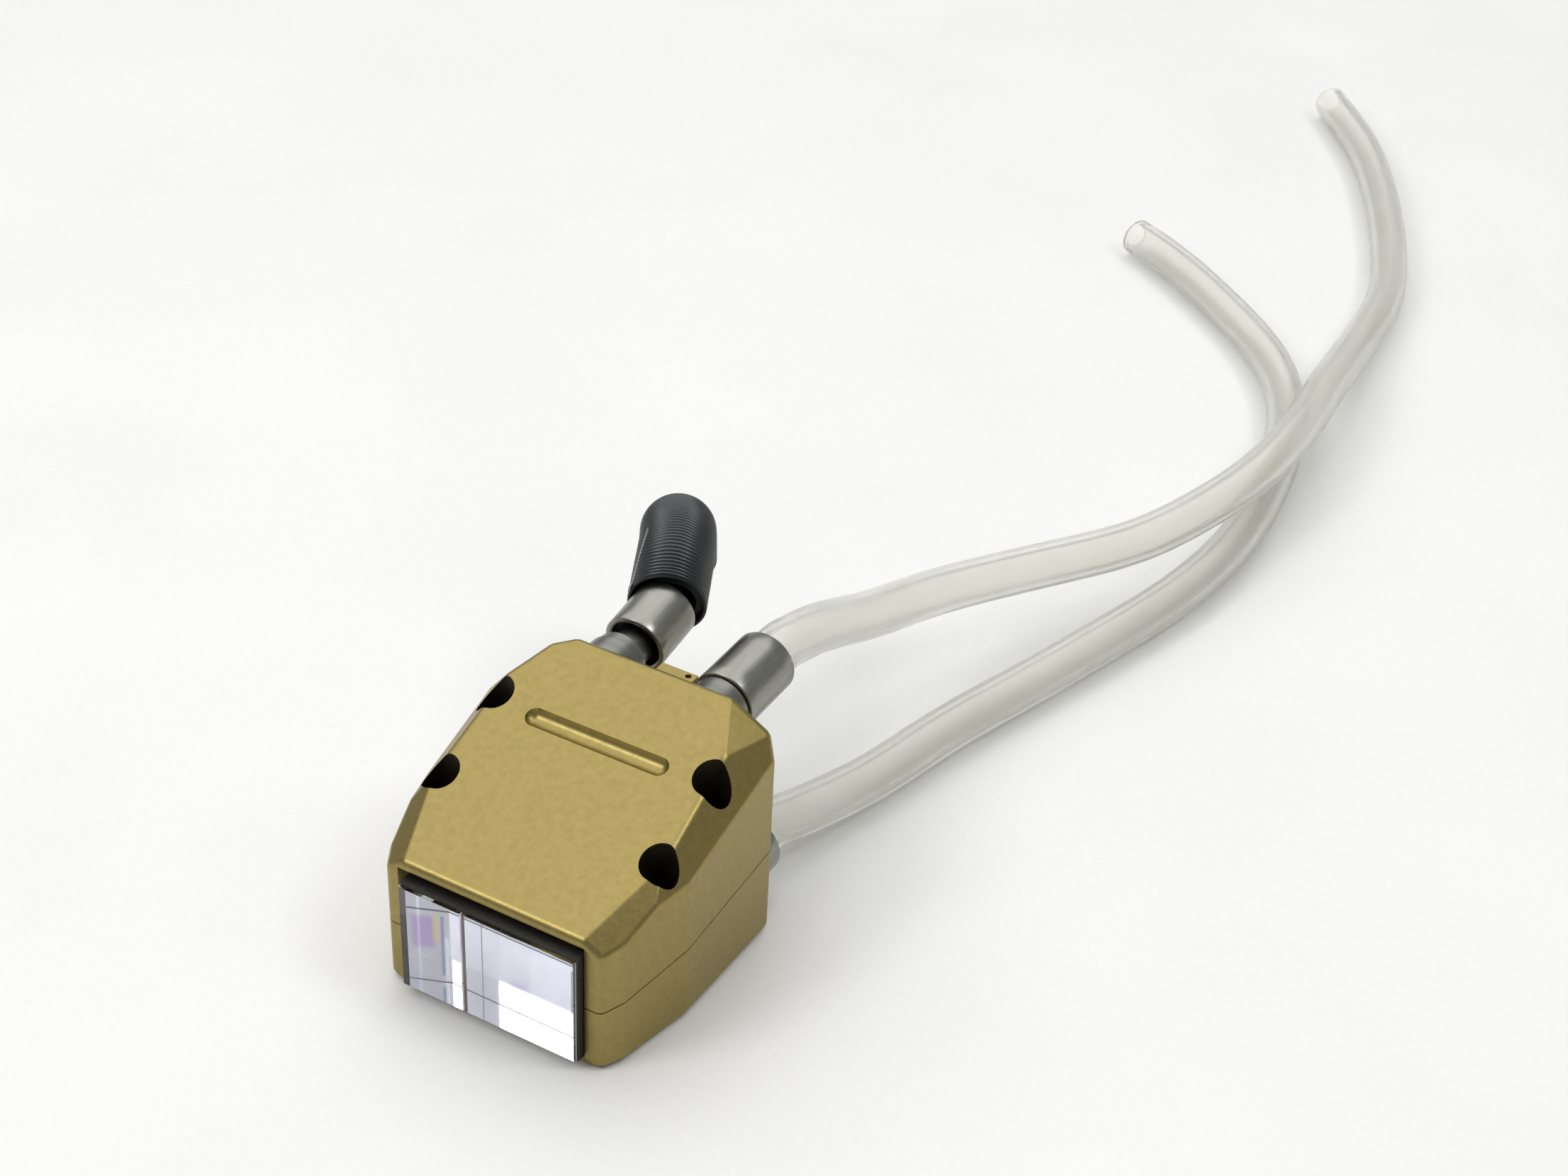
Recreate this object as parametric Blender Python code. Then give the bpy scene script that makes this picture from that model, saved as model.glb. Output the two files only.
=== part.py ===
"""Compact water-cooled spectroscope head: a split gold housing, a prism window, two hoses and a cable.

Metres, +Z up. The origin is the centre of the flat bottom face, the window faces -Y.
Sizes are in millimetres in the block below and are turned into metres by the helpers.
Depths (the D_ names) are measured from the front face towards the rear.
"""

import math

import bmesh
import bpy
from mathutils import Vector

MM = 0.001
GAP = 0.3            # between pieces that touch on the real object
FIT = 0.15           # between the prisms and what holds them
PAST = 1.0           # how far a cutter passes the face it cuts

# ---------------------------------------------------------------- housing
BODY_LENGTH = 41.5
HALF_WIDTH = 23.2
TOP_FRONT_Z = 23.6
TOP_SLOPE = 22.2     # degrees, rising to the rear
PART_FRONT_Z = 11.3
PART_SLOPE = 6.7     # degrees, rising to the rear
PART_GAP = 0.2
EDGE_ROUND = 1.5
ROUND_STEP = 9.0     # degrees of turn per flat of a rounded edge
TOP_WALL = 2.2
SIDE_WALL = 2.0
FLOOR_WALL = 1.2
REAR_WALL = 2.5

# Right half of the side walls in plan: distance out, depth.
FRONT_CORNER = (HALF_WIDTH - 4.8, 0.0)
FLARE_START = (HALF_WIDTH - 3.0, 3.6)
FLARE_END = (HALF_WIDTH - 0.4, 16.3)
REAR_CORNER = (HALF_WIDTH, BODY_LENGTH - 2.5)
REAR_EDGE = (HALF_WIDTH - 2.6, BODY_LENGTH)

# Right half of the top face in plan.
TOP_FRONT_CORNER = (HALF_WIDTH - 7.5, 1.3)
TOP_FLARE_END = (HALF_WIDTH - 3.6, 14.0)
TOP_TAPER_START = (HALF_WIDTH - 4.45, BODY_LENGTH - 9.9)
TOP_REAR_CORNER = (HALF_WIDTH - 9.0, BODY_LENGTH - 0.9)
FRONT_FOOT_DROP = 2.4
MID_FOOT_DROP = 4.4
# Rear shoulders, right then left: side, and a point on each as distance out, depth and drop below the top.
REAR_SHOULDERS = (
    (1, (HALF_WIDTH - 4.0, BODY_LENGTH - 0.9, 2.9)),
    (-1, (HALF_WIDTH - 1.2, BODY_LENGTH - 1.0, 9.3)),
)
LEFT_CORNER_CUT = 1.0
LEFT_CORNER_LEAN = 0.75      # how far the cut leans to the rear, as a share of its outward run

SCREW_X = HALF_WIDTH - 4.35
SCREW_DEPTHS = (14.2, 28.2)
COUNTERBORE_R = 2.9
SCREW_SEAT = 3.5     # head seat above the parting plane
SCREW_R = 1.1
SCREW_HOLE_R = 1.35
SCREW_GRIP = 6.0     # thread below the parting plane
HEAD_R = 2.2
HEAD_H = 2.2
SOCKET_R = 1.05
SOCKET_DEPTH = 1.2

GROOVE_D = 26.8
GROOVE_HALF = 10.7
GROOVE_R = 1.7
GROOVE_SINK = 1.1

DOWEL_X = HALF_WIDTH - 2.5
DOWEL_D = BODY_LENGTH - 6.9
DOWEL_R = 0.9
DOWEL_HALF = 3.0
DOWEL_FIT = 0.1

LUG_X = (1.0, 7.2)
LUG_OUT = 1.8
LUG_H = 1.4
LUG_HOLE_R = 0.5
LUG_EYE_IN = 1.2

# ---------------------------------------------------------------- prism window
PRISM_HALF = HALF_WIDTH - 8.2
PRISM_Z = (1.8, 20.5)
PRISM_PROUD = 1.7
PRISM_THICK = 8.5
DIVIDER_X = -3.9
DIVIDER_T = 0.5
LEFT_BEVEL = (6.0, 5.3)      # corner taken off the left prism: along X, along Y
RIGHT_BEVEL = (2.2, 2.2)
WINDOW_LEFT_GAP = 1.3
WINDOW_TOP_GAP = 1.9
SHIELD_TOP_T = 0.6
SHIELD_SIDE_T = 0.4
SHIELD_BACK = 0.4            # shield edge behind the glass face

# ---------------------------------------------------------------- optics
MID_HALF = HALF_WIDTH - 8.3
POCKET_DEPTHS = (10.4, BODY_LENGTH - 9.1)  # where the pocket narrows and widens again
REAR_HALF = HALF_WIDTH - 4.7
AXIS_Z = 11.0
CARRIER_T = 2.4
CARRIER_HALF = MID_HALF - 0.5
APERTURE = (10.0, 11.0)
SLIT_T = 0.5
SLIT_PLATE = 12.0
SLIT = (0.5, 7.0)
BARREL_R = 6.6
BARREL_BORE = 5.4
BARREL_LENGTH = 13.0
LENS_R = 5.2
LENS_EDGE = 1.4
LENS_BULGE = 0.9
LENS_BACK = 2.5              # lens edge behind the barrel's front end
RETAINER_T = 1.6
RETAINER_BORE = 4.2
BENCH_T = 1.6
BENCH_HALF = MID_HALF - 0.9
SADDLE_HALF = BARREL_R + 1.9
SADDLE_SINK = 0.5            # foot of the saddle inside the bench plate
SADDLE_LENGTH = 8.0
CHIP = (10.0, 1.5, 8.0)
BOARD = (24.0, 1.2, 21.0)
PAD = (9.5, 0.6, 16.0)
PAD_RAISE = 1.0
CONNECTOR = (5.0, 3.0, 4.0)
CONNECTOR_X = -8.5
CONNECTOR_Z = 21.0
LEAD_R = 0.9
LEAD_STRAIGHT = 3.0
LEAD_BENDS = (-0.6, -5.5)    # shift out above the connector, height below the fitting
LEAD_POINT_SPACING = 1.6

# ---------------------------------------------------------------- cold block
BLOCK_X = (4.2, REAR_HALF - 0.5)
BLOCK_FOOT = 3.4
BLOCK_T = 4.0
COVER_T = 0.9
COVER_GAP = 0.2
SEAL_T = 0.5
CHANNEL_WALL = 2.2
CHANNEL_CUT = 2.0
PORT_R = 2.0
PORT_IN = 1.0        # flat left in front of a port

# ---------------------------------------------------------------- fittings
FITTING_X = 10.0
CABLE_X = -9.0
FITTING_Z = 33.5
LOWER_X = 15.6
LOWER_Z = 8.5
WALL_HOLE_R = 3.2
WASHER_T = 0.4
WASHER_GAP = 0.15
WASHER_R = 4.3
SHANK_R = 2.9
STUB_R = 1.7
STUB_IN = 1.6        # stub inside the cold block port
BORE_R = 1.1
COLLAR_R = 4.8
COLLAR_T = 3.3
BARB_R = 2.4
BARB_RISE = 0.35
BARB_PITCH = 2.2
BARB_RUN = 1.75      # sloped part of a barb
BARB_EDGE = 0.1      # steep part of a barb
BARB_START = 1.0
TIP_BACK = 2.0       # nipple tip inside the sleeve's end
SLEEVE_R = 5.2
SLEEVE_BORE = 4.2
SLEEVE_LENGTH = 12.8
FERRULE_LENGTH = 3.4
LOWER_COLLAR_T = 0.6
CABLE_STEP_R = 4.4
CABLE_STEP_T = 2.0
CABLE_NECK_R = 3.1
CABLE_NECK_LAP = 6.5     # neck inside the sleeve
CABLE_BORE_R = 1.3
CABLE_DRAWN = 3.5        # gap in which the neck shows
CABLE_SLEEVE_LENGTH = 10.0
CABLE_SLEEVE_BORE = 4.3
CABLE_YAW = 1.7      # degrees, the sleeve leans to the left
CABLE_LIFT = 7.5     # degrees, the sleeve points up
BOOT_BORE = SLEEVE_R + 0.55
BOOT_R = BOOT_BORE + 0.55
BOOT_LAP = 0.6
BOOT_STRAIGHT = 2.0
BOOT_POINT_SPACING = 2.4
LINER_R = SLEEVE_R
LINER_BORE = LINER_R - 1.2

# Boot centreline after the sleeve: right of the swivel, behind it, above it.
BOOT_ROUTE = (
    (-3.4, 18.0, 3.0),
    (-6.9, 24.0, 2.7),
    (-9.8, 28.5, 1.5),
    (-11.6, 31.5, -0.9),
    (-12.6, 33.5, -4.5),
    (-13.0, 34.3, -8.0),
)

# ---------------------------------------------------------------- hoses
HOSE_R = 4.0
HOSE_REST_Z = 4.05
HOSE_POINT_SPACING = 14.0
HOSE_STRAIGHT = 5.0

# Hose centrelines after the straight part: right, behind the rear face, height.
UPPER_ROUTE = (
    (11.0, 34.5, 30.6),
    (11.8, 46.5, 24.9),
    (14.6, 68.1, 18.7),
    (26.5, 93.5, 15.0),
    (35.0, 108.8, 13.7),
    (41.2, 129.9, 13.0),
    (44.0, 144.5, 12.8),
    (44.9, 158.5, 12.6),
    (44.0, 174.5, 11.9),
    (42.0, 191.5, 9.8),
    (40.0, 213.5, 6.2),
    (38.2, 230.5, 4.4),
    (37.0, 243.5, HOSE_REST_Z),
    (27.0, 273.5, HOSE_REST_Z),
    (9.0, 311.5, HOSE_REST_Z),
    (-10.0, 337.5, HOSE_REST_Z),
)
LOWER_ROUTE = (
    (18.0, 20.5, 5.9),
    (22.0, 34.5, 4.3),
    (25.4, 51.5, HOSE_REST_Z),
    (31.0, 68.5, HOSE_REST_Z),
    (37.0, 88.5, HOSE_REST_Z),
    (43.0, 110.5, HOSE_REST_Z),
    (45.6, 133.5, HOSE_REST_Z),
    (42.6, 161.5, HOSE_REST_Z),
    (37.0, 182.5, HOSE_REST_Z),
    (26.0, 202.5, HOSE_REST_Z),
    (8.0, 219.5, HOSE_REST_Z),
    (-10.0, 233.5, HOSE_REST_Z),
    (-21.0, 239.5, HOSE_REST_Z),
)

# ---------------------------------------------------------------- worked out
D_PRISM_BACK = PRISM_THICK - PRISM_PROUD
D_CARRIER = D_PRISM_BACK + GAP
D_SLIT = D_CARRIER + CARRIER_T + GAP
D_BARREL = D_SLIT + SLIT_T + GAP
D_COVER = POCKET_DEPTHS[1] + COVER_GAP
D_SEAL = D_COVER + COVER_T + GAP
D_BLOCK = D_SEAL + SEAL_T + GAP
D_BLOCK_END = D_BLOCK + BLOCK_T
D_PAD = D_COVER - GAP - PAD[1]
D_BOARD = D_PAD - GAP - BOARD[1]
D_CHIP = D_BOARD - GAP - CHIP[1]
D_WASHER = BODY_LENGTH + WASHER_GAP
D_COLLAR = D_WASHER + WASHER_T + WASHER_GAP
D_SLEEVE = D_COLLAR + COLLAR_T + GAP
D_HOSE = D_SLEEVE + SLEEVE_LENGTH + GAP
D_FERRULE = D_COLLAR + LOWER_COLLAR_T + GAP
D_LOWER_HOSE = D_FERRULE + FERRULE_LENGTH + GAP
D_CABLE_SLEEVE = D_COLLAR + COLLAR_T + CABLE_STEP_T + CABLE_DRAWN
WINDOW_X = (-PRISM_HALF - WINDOW_LEFT_GAP, PRISM_HALF + 2 * FIT + SHIELD_SIDE_T)
WINDOW_Z = (PRISM_Z[0] - GAP, PRISM_Z[1] + WINDOW_TOP_GAP)


def top_z(depth):
    return TOP_FRONT_Z + math.tan(math.radians(TOP_SLOPE)) * depth


def part_z(depth):
    return PART_FRONT_Z + math.tan(math.radians(PART_SLOPE)) * depth


def place(x, depth, z):
    """A point given by its distance right, its depth behind the front face and its height."""
    return Vector((x, depth - BODY_LENGTH / 2, z)) * MM


# ---------------------------------------------------------------- helpers
def clear_scene():
    for obj in list(bpy.data.objects):
        bpy.data.objects.remove(obj)


def material(name, colour, roughness, metallic=0.0, transmission=0.0):
    made = bpy.data.materials.get(name) or bpy.data.materials.new(name)
    made.use_nodes = True
    shader = made.node_tree.nodes["Principled BSDF"]
    shader.inputs["Base Color"].default_value = (*colour, 1.0)
    shader.inputs["Roughness"].default_value = roughness
    shader.inputs["Metallic"].default_value = metallic
    shader.inputs["Transmission Weight"].default_value = transmission
    made.diffuse_color = (*colour, 1.0)
    return made


def add_object(name, bm, mat=None):
    bmesh.ops.recalc_face_normals(bm, faces=bm.faces)
    mesh = bpy.data.meshes.new(name)
    bm.to_mesh(mesh)
    bm.free()
    mesh.shade_smooth()
    mesh.set_sharp_from_angle(angle=math.radians(28))
    obj = bpy.data.objects.new(name, mesh)
    bpy.context.scene.collection.objects.link(obj)
    if mat:
        mesh.materials.append(mat)
    return obj


def as_cutter(obj):
    obj.hide_render = True
    obj.display_type = "WIRE"
    return obj


def boolean(obj, other, operation="DIFFERENCE", solver="EXACT"):
    change = obj.modifiers.new(other.name, "BOOLEAN")
    change.operation = operation
    change.solver = solver
    change.object = other
    as_cutter(other)


def box_mesh(low, high):
    bm = bmesh.new()
    bmesh.ops.create_cube(bm, size=1.0)
    middle = (low + high) / 2
    for vert in bm.verts:
        vert.co = Vector(v * s for v, s in zip(vert.co, high - low)) + middle
    return bm


def box(name, x, depth, z, mat=None):
    """A box from its three (low, high) ranges."""
    return add_object(name, box_mesh(place(x[0], depth[0], z[0]), place(x[1], depth[1], z[1])), mat)


def cut_by(bm, point, normal):
    """Keeps the side of the plane that the normal points away from, and closes the cut."""
    geometry = bm.verts[:] + bm.edges[:] + bm.faces[:]
    result = bmesh.ops.bisect_plane(
        bm, geom=geometry, plane_co=point, plane_no=normal, clear_outer=True, dist=1e-7
    )
    rim = [item for item in result["geom_cut"] if isinstance(item, bmesh.types.BMEdge)]
    if rim:
        bmesh.ops.contextual_create(bm, geom=rim)


def turned(name, profile, at, mat=None, along="Y", sides=32, closed=True):
    """A turned piece from (radius, distance along the axis) pairs in mm, starting at a point."""
    bm = bmesh.new()
    verts = [bm.verts.new((r * MM, 0, d * MM)) for r, d in profile]
    edges = [bm.edges.new(pair) for pair in zip(verts, verts[1:])]
    if closed:
        edges.append(bm.edges.new((verts[-1], verts[0])))
    bmesh.ops.spin(
        bm, geom=verts + edges, axis=(0, 0, 1), angle=2 * math.pi, steps=sides, use_merge=True
    )
    bmesh.ops.remove_doubles(bm, verts=bm.verts, dist=1e-7)
    obj = add_object(name, bm, mat)
    obj.location = at
    if along == "Y":
        obj.rotation_euler = (-math.pi / 2, 0, 0)
    if along == "X":
        obj.rotation_euler = (0, math.pi / 2, 0)
    return obj


def rod(name, radius, length, at, mat=None, along="Y", sides=32):
    profile = [(0, 0), (radius, 0), (radius, length), (0, length)]
    return turned(name, profile, at, mat, along, sides, closed=False)


def tube(name, radius, bore, length, at, mat=None, along="Y", sides=32):
    profile = [(bore, 0), (radius, 0), (radius, length), (bore, length)]
    return turned(name, profile, at, mat, along, sides)


def smooth_route(points, spacing, first=0.0):
    """Points about one spacing apart on a Catmull-Rom curve through the route, after a first short step."""
    ends = [2 * points[0] - points[1], *points, 2 * points[-1] - points[-2]]
    fine = []
    for a, b, c, d in zip(ends, ends[1:], ends[2:], ends[3:]):
        for step in range(24):
            t = step / 24
            square = 2 * a - 5 * b + 4 * c - d
            cube = 3 * b - a - 3 * c + d
            fine.append(0.5 * (2 * b + (c - a) * t + square * t**2 + cube * t**3))
    fine.append(points[-1])
    walked = [0.0]
    for a, b in zip(fine, fine[1:]):
        walked.append(walked[-1] + (b - a).length)
    left = walked[-1] - first * MM
    count = max(2, round(left / (spacing * MM)))
    goals = [0.0] if first else []
    goals += [first * MM + left * step / count for step in range(count + 1)]
    route = []
    index = 0
    for goal in goals:
        while index < len(fine) - 2 and walked[index + 1] < goal:
            index += 1
        share = (goal - walked[index]) / (walked[index + 1] - walked[index])
        route.append(fine[index].lerp(fine[index + 1], share))
    return route


def swept_tube(name, route, radius, bore, mat, sides=24):
    """A tube along a route, or a solid bar where the bore is 0."""
    bm = bmesh.new()
    side = Vector((1, 0, 0))
    rings = []
    for index, point in enumerate(route):
        ahead = route[min(index + 1, len(route) - 1)]
        behind = route[max(index - 1, 0)]
        along = (ahead - behind).normalized()
        side = (side - along * side.dot(along)).normalized()
        up = along.cross(side)
        circle = []
        for r in (radius, bore) if bore else (radius,):
            for step in range(sides):
                turn = 2 * math.pi * step / sides
                circle.append(bm.verts.new(point + (side * math.cos(turn) + up * math.sin(turn)) * r * MM))
        rings.append(circle)
    walls = (0, sides) if bore else (0,)
    for first, second in zip(rings, rings[1:]):
        for start in walls:
            for step in range(sides):
                after = (step + 1) % sides
                near = (first[start + step], first[start + after])
                far = (second[start + after], second[start + step])
                bm.faces.new(near + far)
    for ring in (rings[0], rings[-1]):
        if not bore:
            bm.faces.new(ring)
            continue
        for step in range(sides):
            after = (step + 1) % sides
            bm.faces.new((ring[step], ring[after], ring[sides + after], ring[sides + step]))
    return add_object(name, bm, mat)


def hose(name, start, route, mat):
    """A free hose: a round curve that leaves its fitting straight and then follows its route."""
    x, depth, z = start
    straight = [place(x, depth + HOSE_STRAIGHT * share, z) for share in (0, 0.5, 1)]
    bends = [place(x, BODY_LENGTH + behind, z) for x, behind, z in route]
    line = smooth_route([*straight, *bends], HOSE_POINT_SPACING, HOSE_STRAIGHT)
    curve = bpy.data.curves.new(name, "CURVE")
    curve.dimensions = "3D"
    curve.bevel_depth = HOSE_R * MM
    curve.bevel_resolution = 3
    curve.use_fill_caps = True
    spline = curve.splines.new("POLY")
    spline.points.add(len(line) - 1)
    for slot, point in zip(spline.points, line):
        slot.co = (*point, 1)
    curve.materials.append(mat)
    obj = bpy.data.objects.new(name, curve)
    bpy.context.scene.collection.objects.link(obj)
    return obj


# ---------------------------------------------------------------- housing
def mirrored(vector):
    return Vector((-vector.x, vector.y, vector.z))


def outward(a, b, c):
    """The upward normal of the plane through three points."""
    out = (b - a).cross(c - a).normalized()
    return out if out.z > 0 else -out


def body_planes():
    """(point, outward normal) of every flat of the housing, right and left."""
    slope = math.radians(TOP_SLOPE)
    planes = [(place(0, 0, TOP_FRONT_Z), Vector((0, -math.sin(slope), math.cos(slope))))]
    planes.append((place(0, 0, 0), Vector((0, 0, -1))))
    planes.append((place(0, 0, 0), Vector((0, -1, 0))))
    planes.append((place(0, BODY_LENGTH, 0), Vector((0, 1, 0))))
    outline = (FRONT_CORNER, FLARE_START, FLARE_END, REAR_CORNER, REAR_EDGE)
    sides = []
    for (x0, d0), (x1, d1) in zip(outline, outline[1:]):
        out = Vector((d1 - d0, x0 - x1, 0)).normalized()
        sides.append((place(x0, d0, 0), out))
    chamfers = (
        (TOP_FRONT_CORNER, TOP_FLARE_END, (*FLARE_START, FRONT_FOOT_DROP)),
        (TOP_FLARE_END, TOP_TAPER_START, (*FLARE_END, MID_FOOT_DROP)),
    )
    for first, second, (foot_x, foot_d, drop) in chamfers:
        a, b = (place(x, d, top_z(d)) for x, d in (first, second))
        foot = place(foot_x, foot_d, top_z(foot_d) - drop)
        sides.append((a, outward(a, b, foot)))
    for point, out in sides:
        planes.append((point, out))
        planes.append((mirrored(point), mirrored(out)))
    for side, (x, depth, drop) in REAR_SHOULDERS:
        a, b = (place(side * u, v, top_z(v)) for u, v in (TOP_TAPER_START, TOP_REAR_CORNER))
        out = outward(a, b, place(side * x, depth, top_z(depth) - drop))
        planes.append((a, out))
    corner = (out + Vector((0, LEFT_CORNER_LEAN, 0))).normalized()
    planes.append((b - corner * LEFT_CORNER_CUT * MM, corner))
    return planes


def wall_of(normal):
    if normal.z < -0.9:
        return FLOOR_WALL
    if normal.y > 0.9:
        return REAR_WALL
    if normal.z > 0.9:
        return TOP_WALL
    return SIDE_WALL


def body_inside(inset_of):
    """The housing's flats, each moved in by inset_of(its normal)."""
    bm = box_mesh(Vector((-60, -60, -10)) * MM, Vector((60, 60, 70)) * MM)
    for point, out in body_planes():
        cut_by(bm, point - out * inset_of(out) * MM, out)
    return bm


def body_within(extra):
    """The space inside the walls, open towards the window, less an extra distance all round."""
    return body_inside(lambda out: 0 if out.y < -0.99 else wall_of(out) + extra)


def rounded_body():
    """The outer shape with every edge rounded: the hull of a ball rolled into each inner corner."""
    inner = body_inside(lambda out: EDGE_ROUND)
    bm = bmesh.new()
    for vert in inner.verts:
        for edge in vert.link_edges:
            first, second = (face.normal for face in edge.link_faces)
            steps = math.ceil(first.angle(second) / math.radians(ROUND_STEP))
            for step in range(steps + 1):
                turn = first.slerp(second, step / steps)
                bm.verts.new(vert.co + turn * EDGE_ROUND * MM)
    inner.free()
    bmesh.ops.remove_doubles(bm, verts=bm.verts, dist=1e-6)
    result = bmesh.ops.convex_hull(bm, input=bm.verts)
    spare = {item for key in ("geom_interior", "geom_unused") for item in result[key]}
    spare_verts = [item for item in spare if isinstance(item, bmesh.types.BMVert)]
    bmesh.ops.delete(bm, geom=spare_verts, context="VERTS")
    bmesh.ops.dissolve_limit(bm, angle_limit=math.radians(0.3), verts=bm.verts, edges=bm.edges)
    return bm


def pocket(name, half, depths, extra=0.0):
    bm = body_within(extra)
    cut_by(bm, place(half, 0, 0), Vector((1, 0, 0)))
    cut_by(bm, place(-half, 0, 0), Vector((-1, 0, 0)))
    cut_by(bm, place(0, depths[0], 0), Vector((0, -1, 0)))
    cut_by(bm, place(0, depths[1], 0), Vector((0, 1, 0)))
    return add_object(name, bm)


def capsule(name, half, radius, at):
    arc = [math.pi / 2 * step / 8 for step in range(9)]
    profile = [(radius * math.sin(a), -half - radius * math.cos(a)) for a in arc]
    profile += [(radius * math.cos(a), half + radius * math.sin(a)) for a in arc]
    return turned(name, profile, at, along="X", sides=24, closed=False)


def housing_half(name, upper, mat):
    bm = rounded_body()
    slope = math.radians(PART_SLOPE)
    up = Vector((0, -math.sin(slope), math.cos(slope)))
    shift = up * PART_GAP / 2 * MM
    joint = place(0, 0, PART_FRONT_Z)
    if upper:
        cut_by(bm, joint + shift, -up)
    else:
        cut_by(bm, joint - shift, up)
    return add_object(name, bm, mat)


def shape_shell(shell, other, operation="DIFFERENCE"):
    """The rounded shells leave open edges with the exact solver, so they take the manifold one."""
    boolean(shell, other, operation, "MANIFOLD")


def screw_places():
    return [(side * SCREW_X, depth) for depth in SCREW_DEPTHS for side in (-1, 1)]


def housing():
    gold = material("gold_anodised", (0.47, 0.37, 0.13), 0.38, 0.9)
    upper = housing_half("upper_shell", True, gold)
    shells = {True: upper, False: housing_half("lower_shell", False, gold)}
    pockets = [
        box("front_pocket_cut", WINDOW_X, (-PAST, POCKET_DEPTHS[0]), WINDOW_Z),
        pocket("mid_pocket_cut", MID_HALF, (POCKET_DEPTHS[0] - PAST, POCKET_DEPTHS[1] + PAST)),
        pocket("rear_pocket_cut", REAR_HALF, (POCKET_DEPTHS[1], BODY_LENGTH)),
    ]
    for cutter in pockets:
        for shell in shells.values():
            shape_shell(shell, cutter)
    for number, (x, depth) in enumerate(screw_places(), 1):
        seat = part_z(depth) + SCREW_SEAT
        bore_at = place(x, depth, seat)
        bore = rod(f"counterbore_cut_{number}", COUNTERBORE_R, top_z(BODY_LENGTH), bore_at, along="Z")
        hole_at = place(x, depth, part_z(depth) - SCREW_GRIP - PAST)
        long = SCREW_GRIP + SCREW_SEAT + 2 * PAST
        hole = rod(f"screw_hole_cut_{number}", SCREW_HOLE_R, long, hole_at, along="Z", sides=16)
        shape_shell(shells[True], bore)
        shape_shell(shells[True], hole)
        shape_shell(shells[False], hole)
    for side in (-1, 1):
        low = place(side * DOWEL_X, DOWEL_D, part_z(DOWEL_D) - DOWEL_HALF - GAP)
        long = 2 * (DOWEL_HALF + GAP)
        hole = rod(f"dowel_hole_cut_{side}", DOWEL_R + DOWEL_FIT, long, low, along="Z", sides=16)
        for shell in shells.values():
            shape_shell(shell, hole)
    slope = math.radians(TOP_SLOPE)
    lift = Vector((0, -math.sin(slope), math.cos(slope))) * (GROOVE_R - GROOVE_SINK) * MM
    groove_at = place(0, GROOVE_D, top_z(GROOVE_D)) + lift
    shape_shell(shells[True], capsule("groove_cut", GROOVE_HALF, GROOVE_R, groove_at))
    lug_top = top_z(BODY_LENGTH) - EDGE_ROUND
    lug = box("lug_join", LUG_X, (BODY_LENGTH - PAST, BODY_LENGTH + LUG_OUT), (lug_top - LUG_H, lug_top))
    shape_shell(shells[True], lug, "UNION")
    eye_at = place(LUG_X[1] - LUG_EYE_IN, BODY_LENGTH + LUG_OUT / 2, lug_top - LUG_H - PAST)
    shape_shell(shells[True], rod("lug_eye_cut", LUG_HOLE_R, LUG_H + 2 * PAST, eye_at, along="Z", sides=12))
    ports = ((FITTING_X, FITTING_Z, True), (CABLE_X, FITTING_Z, True), (LOWER_X, LOWER_Z, False))
    for x, z, shell in ports:
        at = place(x, BODY_LENGTH - REAR_WALL - PAST, z)
        shape_shell(shells[shell], rod(f"port_cut_{x:.0f}", WALL_HOLE_R, REAR_WALL + 2 * PAST, at))


def screws():
    steel = material("blackened_steel", (0.05, 0.05, 0.05), 0.4, 0.9)
    for number, (x, depth) in enumerate(screw_places(), 1):
        under = SCREW_SEAT + SCREW_GRIP + GAP
        profile = [(0, 0), (SCREW_R, 0), (SCREW_R, under), (HEAD_R, under), (HEAD_R, under + HEAD_H)]
        profile += [(SOCKET_R, under + HEAD_H), (SOCKET_R, under + HEAD_H - SOCKET_DEPTH)]
        profile += [(0, under + HEAD_H - SOCKET_DEPTH)]
        at = place(x, depth, part_z(depth) - SCREW_GRIP)
        turned(f"shell_screw_{number}", profile, at, steel, along="Z", sides=24, closed=False)
    for name, side in (("dowel_left", -1), ("dowel_right", 1)):
        at = place(side * DOWEL_X, DOWEL_D, part_z(DOWEL_D) - DOWEL_HALF)
        rod(name, DOWEL_R, 2 * DOWEL_HALF, at, steel, along="Z", sides=16)


# ---------------------------------------------------------------- prism window
def plan_block(name, outline, z, mat):
    """A block from its outline in plan, (right, depth) pairs, and its height range."""
    bm = bmesh.new()
    face = bm.faces.new([bm.verts.new(place(x, d, z[0])) for x, d in outline])
    top = bmesh.ops.extrude_face_region(bm, geom=[face])
    verts = [item for item in top["geom"] if isinstance(item, bmesh.types.BMVert)]
    bmesh.ops.translate(bm, verts=verts, vec=(0, 0, (z[1] - z[0]) * MM))
    return add_object(name, bm, mat)


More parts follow.
